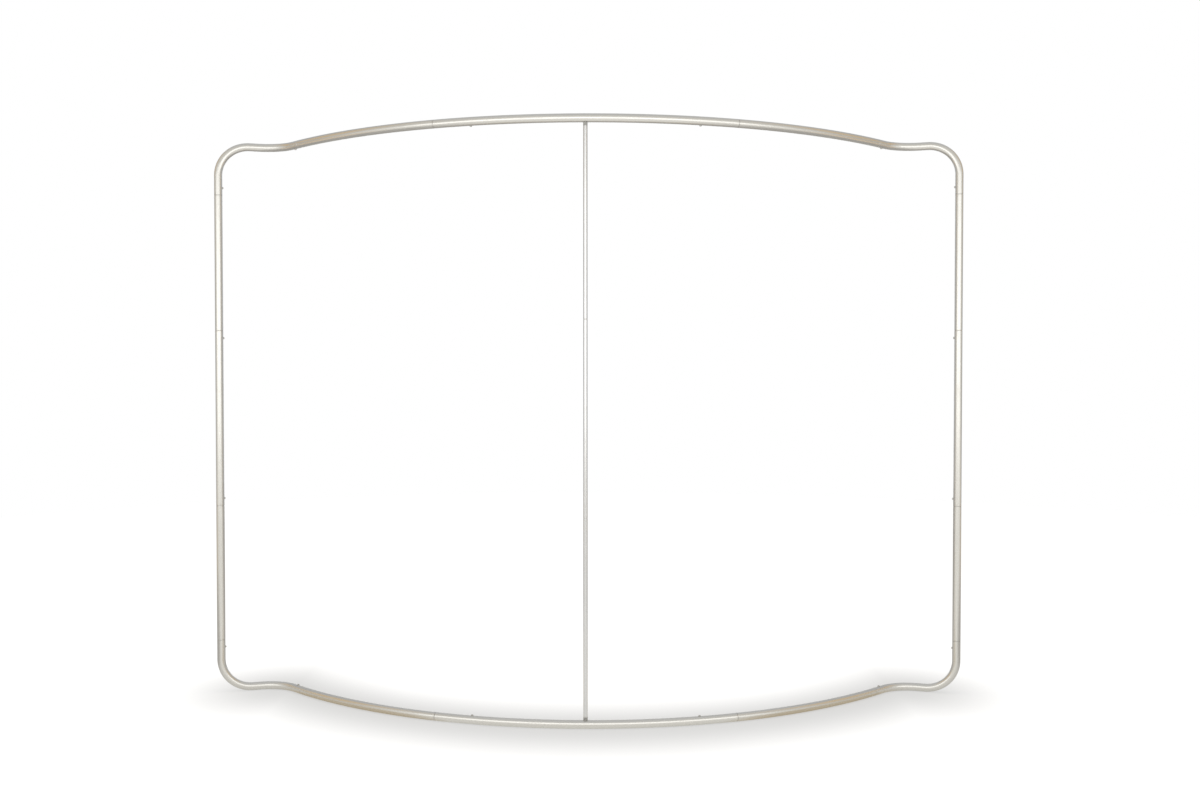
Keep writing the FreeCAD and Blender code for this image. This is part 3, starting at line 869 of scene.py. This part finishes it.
# %% The hairpin's line
SPRING_REST = 0.011566
SPRING_THICKNESS = 0.0005
SPRING_WIDTH = 0.0096
SPRING_ARM = 0.036
SPRING_FOOT = 0.026
BEND_STEPS = 16
STRIP_ROUND = 0.0002
STRIP_CREASE = math.radians(50)


def hairpin_line():
    """The middle line of the hairpin, as pairs of length and height, from the button to the far wall."""
    bend = SPRING_REST - SPRING_THICKNESS / 2
    line = [(-BUTTON_RADIUS, bend), (-BUTTON_RADIUS / 2, bend), (SPRING_ARM / 2, bend)]
    for step in range(BEND_STEPS + 1):
        angle = math.pi / 2 - math.pi * step / BEND_STEPS
        line.append((SPRING_ARM + bend * math.cos(angle), bend * math.sin(angle)))
    return line + [(SPRING_ARM - SPRING_FOOT / 2, -bend), (SPRING_ARM - SPRING_FOOT, -bend)]


def strip_section():
    """The strip's section, with its long edges rounded."""
    half, thick = SPRING_WIDTH / 2, SPRING_THICKNESS / 2
    section = [(half - STRIP_ROUND, thick), (half, thick * 0.5)]
    section += [(half, -thick * 0.5), (half - STRIP_ROUND, -thick)]
    return section + [(-across, height) for across, height in reversed(section)]


print("points along a hairpin:", len(hairpin_line()))


# %% Strip along the hairpin
def spring_mesh(name, place, way):
    """Strip steel along the hairpin, which lies one way or the other along the tube."""
    mesh = bmesh.new()
    own = mesh.verts.layers.float_vector.new("tube_place")
    line = [Vector((along * way, height)) for along, height in hairpin_line()]
    rings = []
    length = 0.0
    for index, point in enumerate(line):
        before, after = line[max(index - 1, 0)], line[min(index + 1, len(line) - 1)]
        length += (point - before).length
        along = (after - before).normalized()
        outwards = Vector((-along.y, along.x)) * way
        ring = []
        for across, height in strip_section():
            spot = point + outwards * height
            vert = mesh.verts.new(place @ Vector((spot.x, across, spot.y)))
            vert[own] = (across, height, length)
            ring.append(vert)
        rings.append(ring)
    for ring, following in zip(rings, rings[1:]):
        bridge(mesh, ring, following)
    mesh.faces.new(rings[0])
    mesh.faces.new(rings[-1])
    data = finished_mesh(name, mesh)
    data.set_sharp_from_angle(angle=STRIP_CREASE)
    return data


# four joints of each kind: their names, a length along the loop, and the way that the hairpin lies
QUARTER_JOINTS = (
    (("right_corner_bottom", "left_corner_bottom", "right_corner_top", "left_corner_top"), CORNER_BUTTON, 1),
    (("right_middle_lower", "left_middle_lower", "right_middle_upper", "left_middle_upper"),
     MIDDLE_BUTTON, -1),
    (("bottom_corner_right", "bottom_corner_left", "top_corner_right", "top_corner_left"), END_BUTTON, -1),
    (("bottom_centre_right", "bottom_centre_left", "top_centre_right", "top_centre_left"), RAIL_BUTTON, 1),
)

for names, length, way in QUARTER_JOINTS:
    place = loop_place(length)
    pin = turned_mesh("button", button_profile(), place, "turned_place")
    strip = spring_mesh("spring", place, way)
    for name in names:
        flip = mirror_matrix(name)
        node = "button_" + name
        data = mirrored_mesh(pin, node + "_pin", flip)
        put_piece(node + "_pin", data, node, "button_steel", [node])
        data = mirrored_mesh(strip, "spring_" + name, flip)
        spring = put_piece("spring_" + name, data, "frame", "spring_steel", ["button_springs"], "tube_place")
        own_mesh(spring)
    bpy.data.meshes.remove(pin)
    bpy.data.meshes.remove(strip)

# %% [markdown]
# ## The plugs of the pole
#
# Both ends of the pole stand on a grey collar. Its underside is a saddle on the round rail, and a stud goes
# through the rail's wall, so the pole can't wander along it. A cylinder with the rail cut out of it would
# have the same shape, but the turned profile with a saddle keeps a rounded edge all the way round.

# %% The plug's profile
SEAT_RADIUS = TUBE_RADIUS + 0.0003
PLUG_RADIUS = 0.008
SHANK_RADIUS = 0.00665
STUD_RADIUS = 0.003
PLUG_SHOULDER = TUBE_RADIUS + 0.011
SHANK_END = PLUG_SHOULDER + 0.025
STUD_END = TUBE_RADIUS - 0.008
EDGE_BREAK = 0.0006
SHOULDER_ROUND = 0.0005
SHOULDER_HOLD = 0.0009
ROUND_STEPS = 3
SHANK_CHAMFER = 0.001


def saddle(lift):
    """The height of the seat on the rail, lifted a little for a rounded edge."""
    return lambda across: math.sqrt(SEAT_RADIUS ** 2 - min(abs(across), PLUG_RADIUS) ** 2) + lift


def rounded(radius, height, size):
    """Points on a quarter circle about a centre, from its outside to its top."""
    angles = [math.pi / 2 * step / ROUND_STEPS for step in range(ROUND_STEPS + 1)]
    return [(radius + size * math.cos(angle), height + size * math.sin(angle)) for angle in angles]


plug_profile = [
    (0, STUD_END),
    (STUD_RADIUS - EDGE_BREAK, STUD_END),
    (STUD_RADIUS, STUD_END + EDGE_BREAK),
    (STUD_RADIUS, saddle(0)),
    (PLUG_RADIUS - EDGE_BREAK, saddle(0)),
    (PLUG_RADIUS - EDGE_BREAK / 3, saddle(EDGE_BREAK / 3)),
    (PLUG_RADIUS, saddle(EDGE_BREAK)),
    (PLUG_RADIUS, PLUG_SHOULDER - SHOULDER_HOLD),
    *rounded(PLUG_RADIUS - SHOULDER_ROUND, PLUG_SHOULDER - SHOULDER_ROUND, SHOULDER_ROUND),
    (SHANK_RADIUS, PLUG_SHOULDER),
    (SHANK_RADIUS, SHANK_END - SHANK_CHAMFER),
    (SHANK_RADIUS - SHANK_CHAMFER, SHANK_END),
    (0, SHANK_END),
]
print("points on a plug's profile:", len(plug_profile))

# %% The plugs of the pole
shape = turned_mesh("plug", plug_profile, loop_place(0.0), "tube_place", [(PLUG_RADIUS, PLUG_SHOULDER)])
put_mirrored(shape, ("pole_plug_bottom", "pole_plug_top"), "_collar", "plug_plastic")
print(len(made), "pieces so far")

# %% [markdown]
# ## Pieces that keep the solid model's shape
#
# The spigots hide inside the tubes, and only a line of each shows at a seam. They could be built again like
# the tubes, but their solids are right as they are, so they only get their finish.

# %% The spigots
SPIGOTS = ("upright_spigots", "rail_end_spigots", "rail_centre_spigots")
SPIGOTS += ("pole_spigot_lower", "pole_spigot_upper")

for node in SPIGOTS:
    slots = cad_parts[node].data.materials
    slots.clear()
    slots.append(finishes["spigot_aluminium"])
print(len(SPIGOTS), "nodes with their finish")

# %% [markdown]
# ## Studio
#
# The frame was photographed against white. Polished metal shows whatever stands around it, so the studio
# matters more than the lamps: a bright wall in front, brightest low down, side walls that are tan except at
# eye level, and grey behind, which draws the dark lines along both edges of every tube. Walls could be built
# as planes, but the world can paint that room from the direction alone, with no shadows of its own. The
# camera, and gloss that looks straight past the frame, see plain white.

# %% Studio: the room
FRONT_WALL = (0.66, 0.645, 0.60, 1)
FRONT_LOW = (0.88, 0.86, 0.80, 1)
BACK_WALL = (0.46, 0.465, 0.47, 1)
SIDE_WALL = (0.64, 0.49, 0.305, 1)
SIDE_LEVEL = (0.50, 0.485, 0.45, 1)
CEILING = (0.56, 0.56, 0.55, 1)
WHITE = (1, 1, 1, 1)
# where each wall begins and where it is full, as shares of a direction
SIDE_SPAN = (0.93, 0.995)
FRONT_SPAN = (-0.05, 0.62)
LOW_SPAN = (-0.02, 0.10)
RAISED_SPAN = (0.10, 0.28)
CEILING_SPAN = (0.66, 0.95)
PAST_SPAN = (0.85, 0.95)
NOT_UPRIGHT = 0.0001


def level_way(tree, way):
    """A direction laid level: its share to either side, and its share to the front."""
    axes = split_axes(tree, way)
    level = add_node(tree, "ShaderNodeCombineXYZ", X=axes["X"], Y=axes["Y"], Z=NOT_UPRIGHT).outputs[0]
    level = add_node(tree, "ShaderNodeVectorMath", {"operation": "NORMALIZE"}, i0=level).outputs[0]
    turned = split_axes(tree, level)
    side = remap(tree, maths(tree, "ABSOLUTE", turned["X"]), *SIDE_SPAN)
    return side, remap(tree, times(tree, turned["Y"], -1.0), *FRONT_SPAN)


def seen_in_gloss(tree, rays):
    """Whether a ray comes by way of gloss or through a clear piece, as 0 or 1."""
    return maths(tree, "MAXIMUM", rays["Is Glossy Ray"], rays["Is Transmission Ray"])


def build_room():
    """A world that is a grey and tan room for light, and white for the camera."""
    world = bpy.data.worlds.new("studio_room")
    scene.world = world
    world.use_nodes = True
    tree = world.node_tree
    tree.nodes.clear()
    way = add_node(tree, "ShaderNodeTexCoord").outputs["Generated"]
    axes = split_axes(tree, way)
    side, front = level_way(tree, way)
    ahead = mix_colour(tree, remap(tree, axes["Z"], *LOW_SPAN), FRONT_LOW, FRONT_WALL)
    raised = remap(tree, maths(tree, "ABSOLUTE", axes["Z"]), *RAISED_SPAN)
    room = mix_colour(tree, front, BACK_WALL, ahead)
    room = mix_colour(tree, side, room, mix_colour(tree, raised, SIDE_LEVEL, SIDE_WALL))
    room = mix_colour(tree, remap(tree, axes["Z"], *CEILING_SPAN), room, CEILING)
    rays = add_node(tree, "ShaderNodeLightPath").outputs
    past = times(tree, seen_in_gloss(tree, rays), remap(tree, axes["Y"], *PAST_SPAN))
    seen = maths(tree, "MAXIMUM", rays["Is Camera Ray"], past)
    light = mix_colour(tree, seen, room, WHITE)
    shader = add_node(tree, "ShaderNodeBackground", Color=light, Strength=1.0)
    output = tree.nodes.new("ShaderNodeOutputWorld")
    tree.links.new(shader.outputs[0], output.inputs["Surface"])


build_room()
print("room:", len(scene.world.node_tree.nodes), "nodes")

# %% [markdown]
# ## Soft boxes
#
# A wide soft box in front makes the long highlight on every tube. It stands near, so the uprights show
# where it stops. A second one, above, is kept out of gloss and lights little but the floor. Lamps could be
# set in watts, but a box that is seen in metal is easier to set by the brightness of its face.

# %% Soft boxes
def soft_box(name, location, target, size, radiance, in_gloss):
    """A large soft lamp, set by the brightness of its face."""
    lamp = bpy.data.lights.new(name, "AREA")
    lamp.shape = "RECTANGLE"
    lamp.size, lamp.size_y = size
    lamp.energy = math.pi * size[0] * size[1] * radiance
    box = bpy.data.objects.new(name, lamp)
    box.location = location
    box.rotation_euler = (Vector(target) - Vector(location)).to_track_quat("-Z", "Y").to_euler()
    box.visible_camera = False
    box.visible_glossy = in_gloss
    scene.collection.objects.link(box)
    print(f"{name}: {lamp.energy:.0f} W")


soft_box("front_box", (0, -3.4, 1.9), (0, 0, 1.9), size=(9.6, 2.2), radiance=0.67, in_gloss=True)
soft_box("top_box", (0, -0.6, 5.0), (0, -0.1, 0), size=(4.0, 2.4), radiance=1.4, in_gloss=False)

# %% [markdown]
# ## Floor
#
# The floor is a plain white sheet. It is partly lit by the lamps, so that it takes the shadow of the bottom
# rail, and mostly bright by itself for the camera, so that it runs into the white behind it. A tube this
# slim leaves only a thin line of shadow, and the picture has a broad soft one. A wider lamp would only make
# the line fainter, so the sheet is toned darker in a band along the rail, worked out from the rail's arc.
#
# For gloss alone the sheet also glows in colours painted by place, a painted reflection in the metal: bright
# in front, dark behind the frame, which draws the lower dark edge of the top rail, dark beside the frame,
# which draws the outer edges of the lower uprights, and tan below the ends of the rail and far out to the
# sides.

# %% Floor: the band along the rail
SHADE_DEPTH = 0.362
SHADE_REACH = 0.454
SHADE_GROWTH = 1.18
SHADE_ASIDE = 0.018
SHADE_WIDENS = 0.6
SHADE_TURN = 1.244
SHADE_END = 1.295


def rail_shade(tree):
    """How far a point of the floor is in the soft shade of the bottom rail, from 0 to 1."""
    axes = split_axes(tree, own_place(tree))
    aside = maths(tree, "ABSOLUTE", maths(tree, "SUBTRACT", axes["X"], SHADE_ASIDE))
    left = maths(tree, "SUBTRACT", RAIL_RADIUS ** 2, times(tree, aside, aside))
    left = maths(tree, "MAXIMUM", left, RAIL_RADIUS ** 2 - SHADE_TURN ** 2)
    line = maths(tree, "SUBTRACT", RAIL_FRONT + RAIL_RADIUS, maths(tree, "SQRT", left))
    away = maths(tree, "SUBTRACT", axes["Y"], line)
    past_end = maths(tree, "MAXIMUM", maths(tree, "SUBTRACT", aside, SHADE_END), 0.0)
    squares = [times(tree, length, length) for length in (away, past_end)]
    gap = maths(tree, "SQRT", maths(tree, "ADD", *squares))
    reach = remap(tree, aside, SHADE_WIDENS, SHADE_END, SHADE_REACH, SHADE_GROWTH * SHADE_REACH)
    return remap(tree, gap, 0.0, reach, 1.0, 0.0)


# %% Floor: the painted reflection that gloss sees
# the colours of the painted reflection that the sheet shows to gloss alone
GLOSS_FRONT = (0.49, 0.482, 0.45, 1)
GLOSS_BEHIND = (0.10, 0.09, 0.08, 1)
GLOSS_BESIDE = (0.12, 0.115, 0.105, 1)
TAN_NEAR = (0.33, 0.27, 0.175, 1)
TAN_FAR = (0.46, 0.34, 0.21, 1)
# where each part of the floor begins and where it is full
BEHIND_SPAN = (0.05, 0.7)
FAR_SPAN = (3.9, 4.3)
TAN_SPAN = (1.15, 1.32)
BESIDE_SPAN = (1.3, 2.0)
BESIDE_FRONT_SPAN = (-1.5, -0.75)


def floor_painted_reflection(tree):
    """The floor's own glow as gloss sees it: a painted reflection, set by place."""
    place = own_place(tree)
    axes = split_axes(tree, place)
    aside = maths(tree, "ABSOLUTE", axes["X"])
    near = remap(tree, aside, *FAR_SPAN, 1.0, 0.0)
    seen = mix_colour(tree, remap(tree, axes["Y"], *BEHIND_SPAN), GLOSS_FRONT, GLOSS_BEHIND)
    by_rail_or_far = remap(tree, times(tree, aside, near), *TAN_SPAN, 1.0, 0.0)
    tan_share = times(tree, level_way(tree, place)[0], by_rail_or_far)
    seen = mix_colour(tree, tan_share, seen, mix_colour(tree, near, TAN_FAR, TAN_NEAR))
    beside = times(tree, remap(tree, aside, *BESIDE_SPAN), near)
    beside = times(tree, beside, remap(tree, axes["Y"], *BESIDE_FRONT_SPAN))
    return mix_colour(tree, beside, seen, GLOSS_BESIDE)


# %% Floor: the sheet
SHEET_RADIUS = 8.0
SHEET_SIDES = 96
SHEET_HEIGHT = -0.0005
PAPER = 0.42
CAMERA_GLOW = 0.80
BLACK = (0, 0, 0, 1)


def white_sheet():
    """White paper that is lit by the lamps and also bright by itself, with a painted shadow along the rail
    and a painted reflection for gloss.
    """
    material = bpy.data.materials.new("white_sheet")
    material.use_nodes = True
    tree = material.node_tree
    tree.nodes.clear()
    light = maths(tree, "SUBTRACT", 1.0, times(tree, rail_shade(tree), SHADE_DEPTH))
    sheet = add_node(tree, "ShaderNodeBsdfDiffuse", Color=times(tree, light, PAPER))
    rays = add_node(tree, "ShaderNodeLightPath").outputs
    white = mix_colour(tree, rays["Is Camera Ray"], BLACK, times(tree, light, CAMERA_GLOW))
    # for gloss the sheet glows with the painted reflection instead of the camera's white
    colour = mix_colour(tree, seen_in_gloss(tree, rays), white, floor_painted_reflection(tree))
    glow = add_node(tree, "ShaderNodeEmission", Color=colour, Strength=1.0)
    both = add_node(tree, "ShaderNodeAddShader", i0=sheet.outputs[0], i1=glow.outputs[0])
    output = tree.nodes.new("ShaderNodeOutputMaterial")
    tree.links.new(both.outputs[0], output.inputs["Surface"])
    return material


sheet_shape = bmesh.new()
bmesh.ops.create_circle(sheet_shape, cap_ends=True, segments=SHEET_SIDES, radius=SHEET_RADIUS)
sheet_data = bpy.data.meshes.new("floor")
sheet_shape.to_mesh(sheet_data)
sheet_shape.free()
sheet_data.materials.append(white_sheet())
floor = bpy.data.objects.new("floor", sheet_data)
floor.location = (0, 0, SHEET_HEIGHT)
scene.collection.objects.link(floor)
print("floor:", 2 * SHEET_RADIUS, "m across")
